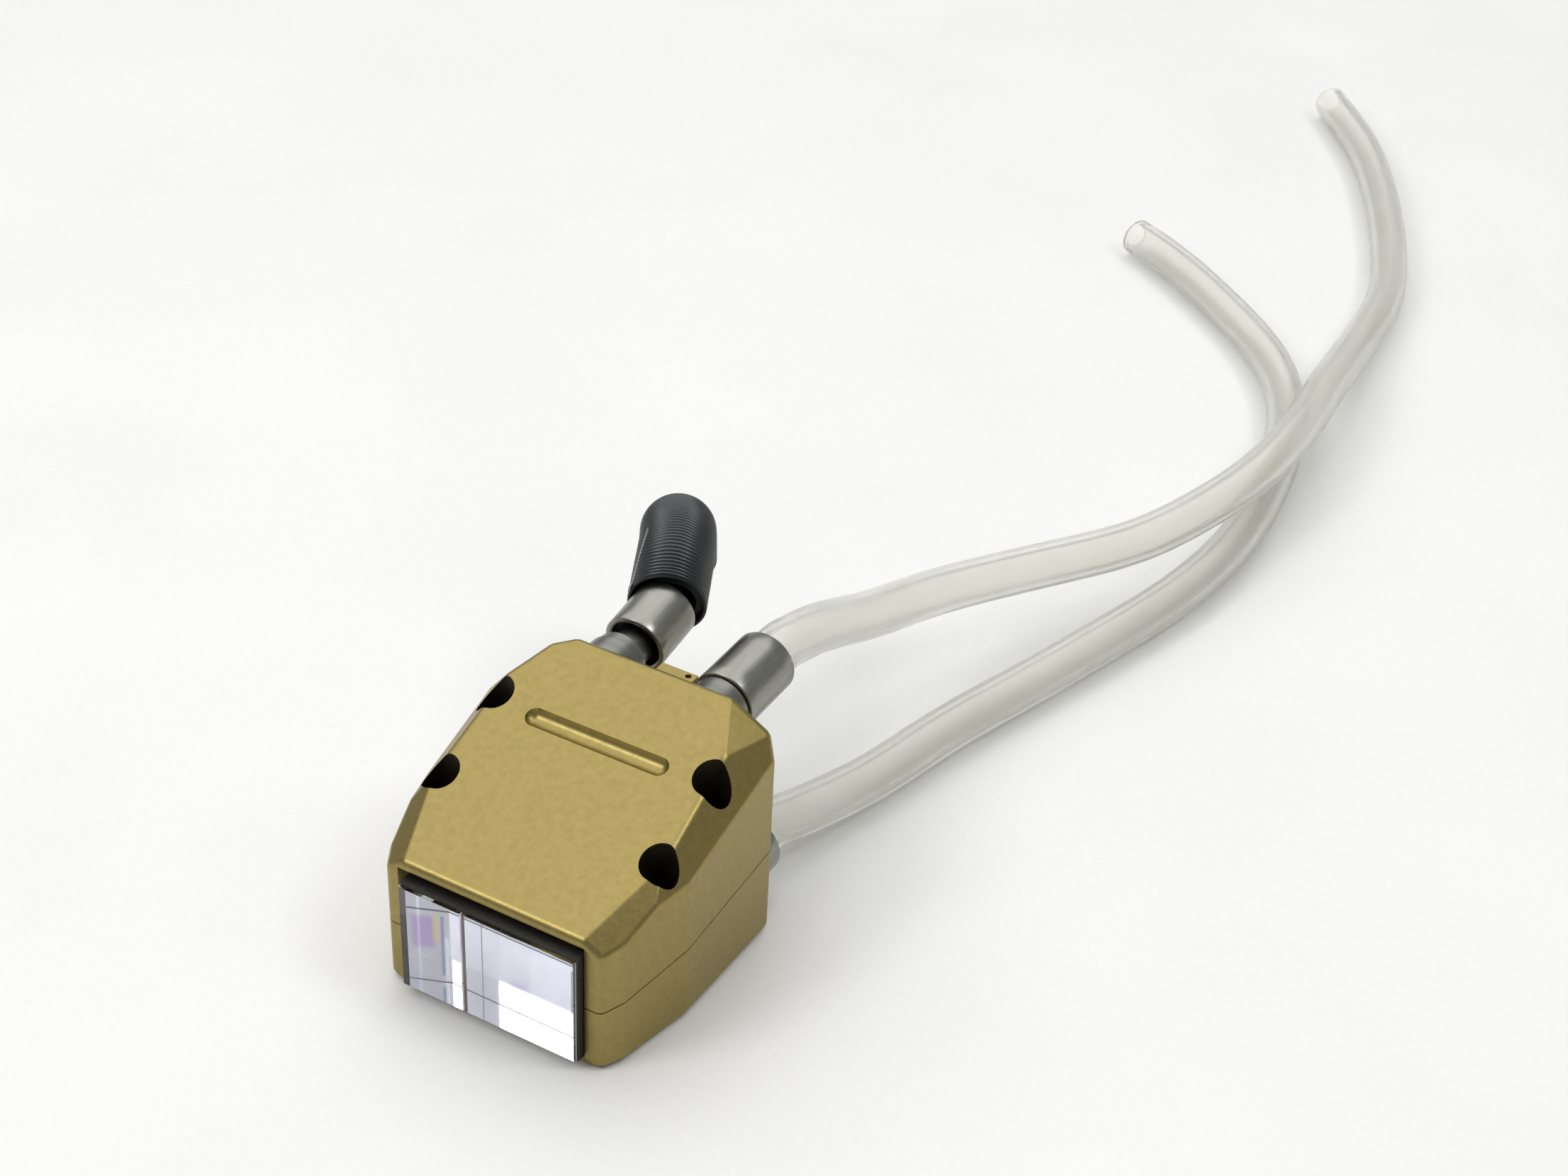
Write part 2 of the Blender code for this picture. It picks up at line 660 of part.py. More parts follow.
def prisms():
    glass = material("prism_glass", (0.92, 0.94, 0.97), 0.02, 0.0, 1.0)
    black = material("black_plastic", (0.02, 0.02, 0.017), 0.5)
    bronze = material("bronze_foil", (0.2, 0.17, 0.14), 0.5, 0.4)
    half_joint = DIVIDER_T / 2 + FIT
    front = -PRISM_PROUD
    left = DIVIDER_X - half_joint
    right = DIVIDER_X + half_joint
    outline = [(-PRISM_HALF, front), (left, front), (left, D_PRISM_BACK)]
    outline += [(-PRISM_HALF + LEFT_BEVEL[0], D_PRISM_BACK), (-PRISM_HALF, D_PRISM_BACK - LEFT_BEVEL[1])]
    plan_block("left_prism", outline, PRISM_Z, glass)
    outline = [(right, front), (PRISM_HALF, front), (PRISM_HALF, D_PRISM_BACK - RIGHT_BEVEL[1])]
    outline += [(PRISM_HALF - RIGHT_BEVEL[0], D_PRISM_BACK), (right, D_PRISM_BACK)]
    plan_block("right_prism", outline, PRISM_Z, glass)
    sheet = (DIVIDER_X - DIVIDER_T / 2, DIVIDER_X + DIVIDER_T / 2)
    box("prism_divider", sheet, (front + FIT, D_PRISM_BACK), PRISM_Z, bronze)
    depths = (front + SHIELD_BACK, D_PRISM_BACK)
    top = (PRISM_Z[1] + FIT, PRISM_Z[1] + FIT + SHIELD_TOP_T)
    side = (PRISM_HALF + FIT, PRISM_HALF + FIT + SHIELD_SIDE_T)
    shield = box("light_shield", (-PRISM_HALF, side[1]), depths, top, black)
    leg = box("shield_leg_join", side, depths, (PRISM_Z[0], top[1]))
    boolean(shield, leg, "UNION")


# ---------------------------------------------------------------- optics
def optics():
    black = material("black_plastic", (0.02, 0.02, 0.017), 0.5)
    steel = material("bright_steel", (0.42, 0.42, 0.4), 0.3, 1.0)
    grey = material("grey_aluminium", (0.3, 0.3, 0.31), 0.45, 0.9)
    glass = material("prism_glass", (0.92, 0.94, 0.97), 0.02, 0.0, 1.0)
    board_green = material("board_green", (0.02, 0.14, 0.07), 0.5)
    rubber = material("grey_pad", (0.35, 0.38, 0.42), 0.8)
    sleeve_black = material("lead_black", (0.03, 0.03, 0.035), 0.6)
    floor = FLOOR_WALL + GAP

    carrier_z = (floor, PRISM_Z[1])
    depths = (D_CARRIER, D_CARRIER + CARRIER_T)
    carrier = box("prism_carrier", (-CARRIER_HALF, CARRIER_HALF), depths, carrier_z, black)
    low, high = AXIS_Z - APERTURE[1] / 2, AXIS_Z + APERTURE[1] / 2
    past = (depths[0] - PAST, depths[1] + PAST)
    hole = box("aperture_cut", (-APERTURE[0] / 2, APERTURE[0] / 2), past, (low, high))
    boolean(carrier, hole)

    half = SLIT_PLATE / 2
    depths = (D_SLIT, D_SLIT + SLIT_T)
    plate = box("slit_plate", (-half, half), depths, (AXIS_Z - half, AXIS_Z + half), steel)
    low, high = AXIS_Z - SLIT[1] / 2, AXIS_Z + SLIT[1] / 2
    past = (depths[0] - PAST, depths[1] + PAST)
    boolean(plate, box("slit_cut", (-SLIT[0] / 2, SLIT[0] / 2), past, (low, high)))

    tube("lens_barrel", BARREL_R, BARREL_BORE, BARREL_LENGTH, place(0, D_BARREL, AXIS_Z), grey)
    steps = [math.pi / 2 * step / 5 for step in range(5)]
    back = LENS_BULGE + LENS_EDGE
    profile = [(LENS_R * math.sin(a), LENS_BULGE * (1 - math.cos(a))) for a in steps]
    profile += [(LENS_R, LENS_BULGE), (LENS_R, back)]
    profile += [(LENS_R * math.sin(a), back + LENS_BULGE * math.cos(a)) for a in reversed(steps)]
    turned("collimating_lens", profile, place(0, D_BARREL + LENS_BACK, AXIS_Z), glass, closed=False)
    ring_at = D_BARREL + LENS_BACK + back + LENS_BULGE
    tube("lens_retainer", LENS_R, RETAINER_BORE, RETAINER_T, place(0, ring_at, AXIS_Z), black)

    bench_z = (floor, floor + BENCH_T)
    bench = box("optics_bench", (-BENCH_HALF, BENCH_HALF), (D_BARREL, D_CHIP), bench_z, grey)
    middle = D_BARREL + BARREL_LENGTH / 2
    saddle_depths = (middle - SADDLE_LENGTH / 2, middle + SADDLE_LENGTH / 2)
    saddle_z = (bench_z[1] - SADDLE_SINK, AXIS_Z)
    saddle = box("saddle_join", (-SADDLE_HALF, SADDLE_HALF), saddle_depths, saddle_z)
    boolean(bench, saddle, "UNION")
    cradle_at = place(0, D_BARREL - PAST, AXIS_Z)
    boolean(bench, rod("saddle_cut", BARREL_R + GAP, BARREL_LENGTH + 2 * PAST, cradle_at))

    chip_z = (AXIS_Z - CHIP[2] / 2, AXIS_Z + CHIP[2] / 2)
    box("detector_chip", (-CHIP[0] / 2, CHIP[0] / 2), (D_CHIP, D_CHIP + CHIP[1]), chip_z, black)
    board_z = (bench_z[1] + GAP, bench_z[1] + GAP + BOARD[2])
    box("detector_board", (-BOARD[0] / 2, BOARD[0] / 2), (D_BOARD, D_BOARD + BOARD[1]), board_z, board_green)
    pad_x = (BLOCK_X[0], BLOCK_X[0] + PAD[0])
    pad_z = (board_z[0] + PAD_RAISE, board_z[0] + PAD_RAISE + PAD[2])
    box("thermal_pad", pad_x, (D_PAD, D_PAD + PAD[1]), pad_z, rubber)
    connector_x = (CONNECTOR_X - CONNECTOR[0] / 2, CONNECTOR_X + CONNECTOR[0] / 2)
    connector_d = (D_BOARD + BOARD[1] + GAP, D_BOARD + BOARD[1] + GAP + CONNECTOR[1])
    connector_z = (CONNECTOR_Z - CONNECTOR[2] / 2, CONNECTOR_Z + CONNECTOR[2] / 2)
    box("board_connector", connector_x, connector_d, connector_z, black)

    middle = (connector_d[0] + connector_d[1]) / 2
    lead_end = BODY_LENGTH - REAR_WALL - STUB_IN - GAP
    route = (
        place(CONNECTOR_X, middle, connector_z[1] + GAP),
        place(CONNECTOR_X + LEAD_BENDS[0], middle, FITTING_Z + LEAD_BENDS[1]),
        place(CABLE_X, lead_end - LEAD_STRAIGHT, FITTING_Z),
        place(CABLE_X, lead_end, FITTING_Z),
    )
    lead = smooth_route(route, LEAD_POINT_SPACING)
    swept_tube("signal_lead", lead, LEAD_R, 0, sleeve_black, sides=12)


# ---------------------------------------------------------------- cold block
def cold_layer(name, depths, mat):
    bm = body_within(GAP)
    cut_by(bm, place(BLOCK_X[0], 0, 0), Vector((-1, 0, 0)))
    cut_by(bm, place(BLOCK_X[1], 0, 0), Vector((1, 0, 0)))
    cut_by(bm, place(0, depths[0], 0), Vector((0, -1, 0)))
    cut_by(bm, place(0, depths[1], 0), Vector((0, 1, 0)))
    cut_by(bm, place(0, 0, BLOCK_FOOT), Vector((0, 0, -1)))
    return add_object(name, bm, mat)


def channel_cut(name, depths):
    """The milled channel, a rim inside the block's outline."""
    ceiling = top_z(depths[0]) - TOP_WALL - CHANNEL_WALL
    x = (BLOCK_X[0] + CHANNEL_WALL, BLOCK_X[1] - CHANNEL_WALL)
    return box(name, x, depths, (BLOCK_FOOT + CHANNEL_WALL, ceiling - CHANNEL_WALL))


def cooling():
    copper = material("cold_block_metal", (0.55, 0.3, 0.2), 0.4, 1.0)
    grey = material("grey_aluminium", (0.3, 0.3, 0.31), 0.45, 0.9)
    rubber = material("seal_rubber", (0.03, 0.03, 0.03), 0.7)
    cold_layer("cold_block_cover", (D_COVER, D_COVER + COVER_T), grey)
    seal = cold_layer("cover_seal", (D_SEAL, D_SEAL + SEAL_T), rubber)
    boolean(seal, channel_cut("seal_cut", (D_SEAL - PAST, D_SEAL + SEAL_T + PAST)))
    block = cold_layer("cold_block", (D_BLOCK, D_BLOCK_END), copper)
    boolean(block, channel_cut("channel_cut", (D_BLOCK - PAST, D_BLOCK + CHANNEL_CUT)))
    for x, z in ((FITTING_X, FITTING_Z), (LOWER_X, LOWER_Z)):
        port_at = place(x, D_BLOCK + PORT_IN, z)
        boolean(block, rod(f"block_port_cut_{x:.0f}", PORT_R, BLOCK_T + PAST, port_at, sides=20))


# ---------------------------------------------------------------- fittings
def nipple_profile(collar, end, barbs):
    """Outline of a fitting from its stub to its tip, distances measured from the washer face."""
    inner = D_BLOCK_END - STUB_IN - D_WASHER
    wall = BODY_LENGTH - REAR_WALL - D_WASHER
    face = D_COLLAR - D_WASHER
    profile = [(BORE_R, inner), (STUB_R, inner), (STUB_R, wall), (SHANK_R, wall), (SHANK_R, face)]
    profile += [(COLLAR_R, face), (COLLAR_R, face + collar), (BARB_R, face + collar)]
    start = face + collar + BARB_START
    for number in range(barbs):
        low = start + number * BARB_PITCH
        profile += [(BARB_R, low), (BARB_R + BARB_RISE, low + BARB_EDGE), (BARB_R, low + BARB_RUN)]
    return profile + [(BARB_R, end), (BORE_R, end)]


def fittings():
    steel = material("bright_steel", (0.42, 0.42, 0.4), 0.3, 1.0)
    rubber = material("seal_rubber", (0.03, 0.03, 0.03), 0.7)
    upper_at = place(FITTING_X, D_WASHER, FITTING_Z)
    lower_at = place(LOWER_X, D_WASHER, LOWER_Z)
    cable_at = place(CABLE_X, D_WASHER, FITTING_Z)
    upper_end = D_SLEEVE + SLEEVE_LENGTH - TIP_BACK - D_WASHER
    turned("hose_nipple_upper", nipple_profile(COLLAR_T, upper_end, 4), upper_at, steel)
    lower_end = D_FERRULE + FERRULE_LENGTH - D_WASHER
    turned("hose_nipple_lower", nipple_profile(LOWER_COLLAR_T, lower_end, 1), lower_at, steel)
    for name, at in (("upper_washer", upper_at), ("lower_washer", lower_at), ("cable_washer", cable_at)):
        tube(name, WASHER_R, SHANK_R + GAP, WASHER_T, at, rubber)
    tube("hose_sleeve", SLEEVE_R, SLEEVE_BORE, SLEEVE_LENGTH, place(FITTING_X, D_SLEEVE, FITTING_Z), steel)
    tube("hose_ferrule", SLEEVE_R, SLEEVE_BORE, FERRULE_LENGTH, place(LOWER_X, D_FERRULE, LOWER_Z), steel)

    inner = BODY_LENGTH - REAR_WALL - STUB_IN - D_WASHER
    face = D_COLLAR - D_WASHER
    step = face + COLLAR_T
    profile = [(CABLE_BORE_R, inner), (SHANK_R, inner), (SHANK_R, face), (COLLAR_R, face), (COLLAR_R, step)]
    profile += [(CABLE_STEP_R, step), (CABLE_STEP_R, step + CABLE_STEP_T)]
    profile += [(CABLE_NECK_R, step + CABLE_STEP_T)]
    end = D_CABLE_SLEEVE + CABLE_NECK_LAP - D_WASHER
    profile += [(CABLE_NECK_R, end), (CABLE_BORE_R, end)]
    turned("cable_nipple", profile, cable_at, steel)


def cable_side():
    """The sleeve, liner and boot that turn together on the cable nipple."""
    steel = material("bright_steel", (0.42, 0.42, 0.4), 0.3, 1.0)
    boot_black = material("boot_black", (0.03, 0.035, 0.04), 0.55)
    liner_teal = material("liner_teal", (0.03, 0.05, 0.05), 0.5)
    swivel = bpy.data.objects.new("cable_swivel_axis", None)
    swivel.location = place(CABLE_X, D_CABLE_SLEEVE, FITTING_Z)
    bpy.context.scene.collection.objects.link(swivel)
    yaw = math.radians(CABLE_YAW)
    lift = math.radians(CABLE_LIFT)
    lean = Vector((-math.sin(yaw) * math.cos(lift), math.cos(yaw) * math.cos(lift), math.sin(lift)))
    sleeve = tube("cable_sleeve", SLEEVE_R, CABLE_SLEEVE_BORE, CABLE_SLEEVE_LENGTH, (0, 0, 0), steel)
    sleeve.rotation_euler = (lift - math.pi / 2, 0, yaw)
    sleeve.parent = swivel
    origin = Vector(swivel.location)
    mouth = origin + lean * (CABLE_SLEEVE_LENGTH - BOOT_LAP) * MM
    inside = origin + lean * (CABLE_SLEEVE_LENGTH + GAP) * MM
    bends = [origin + Vector(point) * MM for point in BOOT_ROUTE]
    for name, start, radius, bore, mat in (
        ("cable_boot", mouth, BOOT_R, BOOT_BORE, boot_black),
        ("cable_liner", inside, LINER_R, LINER_BORE, liner_teal),
    ):
        route = smooth_route([start, start + lean * BOOT_STRAIGHT * MM, *bends], BOOT_POINT_SPACING)
        piece = swept_tube(name, [point - origin for point in route], radius, bore, mat)
        piece.parent = swivel


def hoses():
    silicone = material("clear_silicone", (0.8, 0.8, 0.72), 0.35, 0.0, 0.4)
    hose("water_hose_upper", (FITTING_X, D_HOSE, FITTING_Z), UPPER_ROUTE, silicone)
    hose("water_hose_lower", (LOWER_X, D_LOWER_HOSE, LOWER_Z), LOWER_ROUTE, silicone)


clear_scene()
housing()
screws()
prisms()
optics()
cooling()
fittings()
cable_side()
hoses()
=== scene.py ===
"""The looks of a compact water-cooled spectroscope head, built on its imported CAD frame.

A split gold housing with a prism window lies on a pale table, with two clear water hoses and
a cable boot behind it. A plain length is in millimetres, and one multiplied by MM is in metres.
"""

import math

import bmesh
import bpy
import numpy as np
from mathutils import Matrix, Vector


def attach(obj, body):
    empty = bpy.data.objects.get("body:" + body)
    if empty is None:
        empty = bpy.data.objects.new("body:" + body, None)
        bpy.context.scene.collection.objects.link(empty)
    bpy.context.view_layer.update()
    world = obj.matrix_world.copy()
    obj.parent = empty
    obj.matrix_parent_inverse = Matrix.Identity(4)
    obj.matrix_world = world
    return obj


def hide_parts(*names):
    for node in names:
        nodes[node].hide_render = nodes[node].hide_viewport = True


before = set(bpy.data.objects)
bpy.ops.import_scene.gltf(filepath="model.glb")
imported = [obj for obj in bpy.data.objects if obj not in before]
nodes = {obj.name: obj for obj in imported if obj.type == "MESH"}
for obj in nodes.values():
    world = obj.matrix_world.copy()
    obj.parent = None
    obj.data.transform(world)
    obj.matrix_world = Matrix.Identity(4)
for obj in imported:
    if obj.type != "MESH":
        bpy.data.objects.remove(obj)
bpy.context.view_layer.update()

# ---------------------------------------------------------------- camera
# A phone camera held by hand, above and to the right of the window, a little tilted.
# Its angles are its direction from the front, how far it looks down, and its tilt.
MM = 0.001
camera_place = Vector((161.84, -238.54, 264.85)) * MM
turn, down, tilt = (math.radians(a) for a in (28.37, 34.61, 2.85))

ahead = Vector((-math.sin(turn) * math.cos(down), math.cos(turn) * math.cos(down), -math.sin(down)))
level = Vector((math.cos(turn), math.sin(turn), 0))
right = level * math.cos(tilt) + level.cross(ahead) * math.sin(tilt)
camera_data = bpy.data.cameras.new("camera")
camera_data.sensor_width = 36.0
camera_data.lens = 58.6
camera_data.clip_start = 0.01
camera = bpy.data.objects.new("camera", camera_data)
bpy.context.scene.collection.objects.link(camera)
facing = Matrix((right, right.cross(ahead), -ahead)).transposed()
camera.matrix_world = Matrix.Translation(camera_place) @ facing.to_4x4()
bpy.context.scene.camera = camera


# ---------------------------------------------------------------- water hoses
# Two soft clear silicone hoses, 8 mm outside and 5 mm inside, a little milky. Each is pushed
# over its barb under a steel sleeve, and ends in a plain square cut on the table.
HOSE_R, HOSE_BORE, HOSE_RIM = 4.0 * MM, 2.5 * MM, 0.25 * MM
UPPER_START = (10.0, 38.15, 33.5)
UPPER_ROUTE = (
    (11.0, 55.25, 30.6), (11.8, 67.25, 24.9), (14.6, 88.85, 18.7), (26.5, 114.25, 15.0),
    (35.0, 129.55, 13.7), (41.2, 150.65, 13.0), (44.0, 165.25, 12.8), (44.9, 179.25, 12.6),
    (44.0, 195.25, 11.9), (42.0, 212.25, 9.8), (40.0, 234.25, 6.2), (38.2, 251.25, 4.4),
    (37.0, 264.25, 4.05), (27.0, 294.25, 4.05), (9.0, 332.25, 4.05), (-10.0, 358.25, 4.05),
)
LOWER_START = (15.6, 26.05, 8.5)
LOWER_ROUTE = (
    (18.0, 41.25, 5.9), (22.0, 55.25, 4.3), (25.4, 72.25, 4.05), (31.0, 89.25, 4.05),
    (37.0, 109.25, 4.05), (43.0, 131.25, 4.05), (45.6, 154.25, 4.05), (42.6, 182.25, 4.05),
    (37.0, 203.25, 4.05), (26.0, 223.25, 4.05), (8.0, 240.25, 4.05), (-10.0, 254.25, 4.05),
    (-21.0, 260.25, 4.05),
)


def linear(colour):
    """An sRGB hex colour as linear RGBA."""
    shares = [int(colour[i:i + 2], 16) / 255 for i in (1, 3, 5)]
    return (*[c / 12.92 if c <= 0.04045 else ((c + 0.055) / 1.055) ** 2.4 for c in shares], 1.0)


def node(tree, kind, settings=None, **inputs):
    """Adds a node. An input that is a socket is linked, and any other is set; _ stands for a space."""
    made = tree.nodes.new(kind)
    for key, value in (settings or {}).items():
        setattr(made, key, value)
    for key, value in inputs.items():
        socket = made.inputs[int(key[1:])] if key[1:].isdigit() else made.inputs[key.replace("_", " ")]
        if isinstance(value, bpy.types.NodeSocket):
            tree.links.new(value, socket)
        else:
            socket.default_value = value
    return made


def finish(name, dark, light, patch_mm, rough, metallic=0.0, grain_mm=0.2, bump_mm=0.003, stretch=(1, 1, 1)):
    """A material with soft patches between two colours, a finer grain in its roughness, and a slight bump.

    Patches and grain are noise of those sizes in millimetres, each longer along an axis by its stretch."""
    made = bpy.data.materials.new(name)
    made.use_nodes = True
    tree = made.node_tree
    shader = tree.nodes["Principled BSDF"]
    shader.inputs["Metallic"].default_value = metallic
    place = node(tree, "ShaderNodeTexCoord").outputs["Object"]
    scale = [1 / s for s in stretch]
    place = node(tree, "ShaderNodeMapping", Vector=place, Scale=scale).outputs["Vector"]
    patch = node(tree, "ShaderNodeTexNoise", Vector=place, Scale=1 / (patch_mm * MM), Detail=3.0)
    grain = node(tree, "ShaderNodeTexNoise", Vector=place, Scale=1 / (grain_mm * MM), Detail=4.0)
    both = node(tree, "ShaderNodeMix", _0=0.35, _2=patch.outputs["Fac"], _3=grain.outputs["Fac"])
    share = node(tree, "ShaderNodeMapRange", Value=both.outputs[0], From_Min=0.35, From_Max=0.65)
    colour = node(
        tree, "ShaderNodeMix", {"data_type": "RGBA"}, _0=share.outputs[0], _6=linear(dark), _7=linear(light)
    )
    tree.links.new(colour.outputs[2], shader.inputs["Base Color"])
    roughness = node(
        tree, "ShaderNodeMapRange", Value=grain.outputs["Fac"],
        From_Min=0.3, From_Max=0.7, To_Min=rough[0], To_Max=rough[1]
    )
    tree.links.new(roughness.outputs[0], shader.inputs["Roughness"])
    if bump_mm:
        bump = node(tree, "ShaderNodeBump", Strength=1.0, Distance=bump_mm * MM, Height=grain.outputs["Fac"])
        tree.links.new(bump.outputs[0], shader.inputs["Normal"])
    return made


def distances(line):
    """How far along the line each of its points lies."""
    return np.append(0, np.cumsum(np.linalg.norm(np.diff(line, axis=0), axis=1)))


def read_at(at, along, rows):
    """The rows of three values at the given distances, straight between one row and the next."""
    return np.stack([np.interp(at, along, rows[:, k]) for k in range(3)], axis=1)


def smooth_line(route, step):
    """Points a step apart on the Catmull-Rom curve through a route: between two points it is the
    cubic whose slope at each is half the difference of that point's neighbours."""
    samples = 24
    p = np.array(route, float)
    p = np.vstack([2 * p[0] - p[1], p, 2 * p[-1] - p[-2]])
    a, b, c, d = p[:-3], p[1:-2], p[2:-1], p[3:]
    t = (np.arange(samples) / samples)[:, None, None]
    fine = 0.5 * (2 * b + (c - a) * t + (2 * a - 5 * b + 4 * c - d) * t**2 + (3 * b - a - 3 * c + d) * t**3)
    fine = np.vstack([fine.transpose(1, 0, 2).reshape(-1, 3), p[-2]])
    along = distances(fine)
    return read_at(np.linspace(0, along[-1], round(along[-1] / step) + 1), along, fine)


def swept(name, line, profile, material, side, sides):
    """A closed round solid along a line.

    Row i lies at distance s_i along the line, and point (i, j) is the line's place there plus r_i times
    (cos a_j side + sin a_j up). side is the given vector squared to the line's direction, up completes
    the frame, a_j goes once round, and the last row of (s, r) joins the first."""
    along = distances(line)
    s, r = np.array(profile, float).T
    centre = read_at(s, along, line)
    forward = read_at(s, along, np.gradient(line, along, axis=0))
    forward /= np.linalg.norm(forward, axis=1)[:, None]
    first = np.array(side, float) - (forward @ np.array(side, float))[:, None] * forward
    first /= np.linalg.norm(first, axis=1)[:, None]
    up = np.cross(forward, first)
    angle = np.arange(sides) * 2 * math.pi / sides
    spokes = np.cos(angle)[:, None] * first[:, None] + np.sin(angle)[:, None] * up[:, None]
    points = centre[:, None] + r[:, None, None] * spokes
    i, j = np.meshgrid(np.arange(len(s)), np.arange(sides), indexing="ij")
    row, j_next = i * sides, (j + 1) % sides
    row_next = (i + 1) % len(s) * sides
    faces = np.stack([row + j, row + j_next, row_next + j_next, row_next + j], axis=-1)
    mesh = bpy.data.meshes.new(name)
    mesh.from_pydata(points.reshape(-1, 3).tolist(), [], faces.reshape(-1, 4).tolist())
    mesh.shade_smooth()
    mesh.set_sharp_from_angle(angle=math.radians(38))
    mesh.materials.append(material)
    made = bpy.data.objects.new(name, mesh)
    bpy.context.scene.collection.objects.link(made)
    return made


def evened(line, reach, still):
    """The line with each point moved to a bell-shaped mean of those up to reach rows away.

    Past each end the line is carried on, turned half round about that end, so both ends stay. The
    first still rows don't move, and the next reach rows move by a growing share."""
    weights = np.hanning(2 * reach + 3)[1:-1]
    weights /= weights.sum()
    carried = np.vstack([2 * line[0] - line[reach:0:-1], line, 2 * line[-1] - line[-2:-reach - 2:-1]])
    mean = np.stack([np.convolve(carried[:, k], weights, "valid") for k in range(3)], axis=1)
    share = np.clip((np.arange(len(line)) - still) / reach, 0, 1)[:, None]
    return line + share * (mean - line)


silicone = finish("clear_silicone_rubber", "#fbfbf5", "#fefefa", 14.0, (0.16, 0.22), 0.0, 7.0, 0.0)
silicone_shader = silicone.node_tree.nodes["Principled BSDF"]
silicone_shader.inputs["Transmission Weight"].default_value = 0.82
silicone_shader.inputs["IOR"].default_value = 1.25

for hose_name, start, route, tucked, declared in (
    ("upper", UPPER_START, UPPER_ROUTE, 3.2, 0.345),
    ("lower", LOWER_START, LOWER_ROUTE, 0.8, 0.266),
):
    x, y, z = start
    hose_route = [(x, y + d, z) for d in (-tucked, 0, 2.5, 5.0)] + list(route)
    line = evened(smooth_line(hose_route, 2.0), reach=8, still=3) * MM
    end = distances(line)[-1]
    walk = np.linspace(HOSE_RIM, end - HOSE_RIM, len(line))
    profile = [(0, HOSE_R - HOSE_RIM), *[(s, HOSE_R) for s in walk], (end, HOSE_R - HOSE_RIM)]
    profile += [(end, HOSE_BORE + HOSE_RIM), *[(s, HOSE_BORE) for s in walk[::-1]], (0, HOSE_BORE + HOSE_RIM)]
    hose = swept(f"{hose_name}_water_hose", line, profile, silicone, (0, 0, 1), sides=40)
    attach(hose, "housing")
    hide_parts(f"water_hose_{hose_name}")


# ---------------------------------------------------------------- housing
# Two machined aluminium halves, bead-blasted to a fine satin and gold anodised. Four screws in
# deep bores and two dowels hold them together along a thin sloping line.
EDGE = 0.18 * MM
SCREW_OFF_MIDDLE, SCREW_ROWS = 18.85, (-6.55, 7.45)
SCREWS = [(side * SCREW_OFF_MIDDLE * MM, y * MM) for side in (-1, 1) for y in SCREW_ROWS]
BORE_R = 3.05 * MM


def dressed(name, node_name, materials, body, slot, edge=0.0):
    """A copy of a CAD node with its loose triangles joined into whole flats, and a small soft edge."""
    source = nodes[node_name]
    bm = bmesh.new()
    bm.from_mesh(source.data)
    bmesh.ops.remove_doubles(bm, verts=bm.verts, dist=2e-6)
    bmesh.ops.dissolve_limit(bm, angle_limit=math.radians(0.4), verts=bm.verts, edges=bm.edges)
    mesh = bpy.data.meshes.new(name)
    bm.to_mesh(mesh)
    bm.free()
    mesh.shade_smooth()
    mesh.set_sharp_from_angle(angle=math.radians(25))
    mesh.materials.clear()
    for material in materials:
        mesh.materials.append(material)
    made = bpy.data.objects.new(name, mesh)
    bpy.context.scene.collection.objects.link(made)
    if edge:
        bevel = made.modifiers.new("soft_edge", "BEVEL")
        bevel.width = edge
        bevel.segments = 2
        bevel.limit_method = "ANGLE"
        bevel.angle_limit = math.radians(40)
        bevel.use_clamp_overlap = True
        bevel.miter_outer = "MITER_ARC"
    weighted = made.modifiers.new("flats", "WEIGHTED_NORMAL")
    weighted.keep_sharp = not edge
    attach(made, body)
    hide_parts(node_name)
    return made


gold = finish(
    "gold_anodised_aluminium", "#948450", "#9f8f59", 1.1, (0.34, 0.42), 1.0, grain_mm=0.3, bump_mm=0.003
)
# The walls and seats of the screw bores get a dark gold, painted shade for the shade deep in the bores.
bore_painted_shade = finish("bore_shade_painted_dark_gold", "#1d170c", "#2c2210", 1.5, (0.5, 0.7), 0.6, grain_mm=0.3)
for shell_name in ("upper_shell", "lower_shell"):
    shell = dressed(f"{shell_name}_satin", shell_name, (gold, bore_painted_shade), "housing", "gold_anodised", EDGE)
    count = len(shell.data.polygons)
    centres = np.empty(count * 3)
    normals = np.empty(count * 3)
    shell.data.polygons.foreach_get("center", centres)
    shell.data.polygons.foreach_get("normal", normals)
    centres, normals = centres.reshape(-1, 3), normals.reshape(-1, 3)
    # Faces on the walls and seats of the screw bores take the painted bore shade.
    off_axis = np.min([np.hypot(centres[:, 0] - x, centres[:, 1] - y) for x, y in SCREWS], axis=0)
    wall, seat = np.abs(normals[:, 2]) < 0.02, normals[:, 2] > 0.98
    painted_shade_faces = (off_axis < BORE_R) & (wall | seat)
    shell.data.polygons.foreach_set("material_index", painted_shade_faces.astype(np.int32))


# ---------------------------------------------------------------- screws and dowels
# Small black-oxide socket cap screws deep in the bores, and ground steel dowels inside.
black_oxide = finish("black_oxide_steel", "#0e0e0f", "#1d1c1b", 0.8, (0.35, 0.55), 0.8)
for number in range(1, 5):
    screw_names = f"cap_screw_{number}", f"shell_screw_{number}"
    dressed(*screw_names, (black_oxide,), "housing", "blackened_steel", 0.08 * MM)
for dowel in ("dowel_left", "dowel_right"):
    nodes[dowel].data.materials.clear()
    nodes[dowel].data.materials.append(black_oxide)
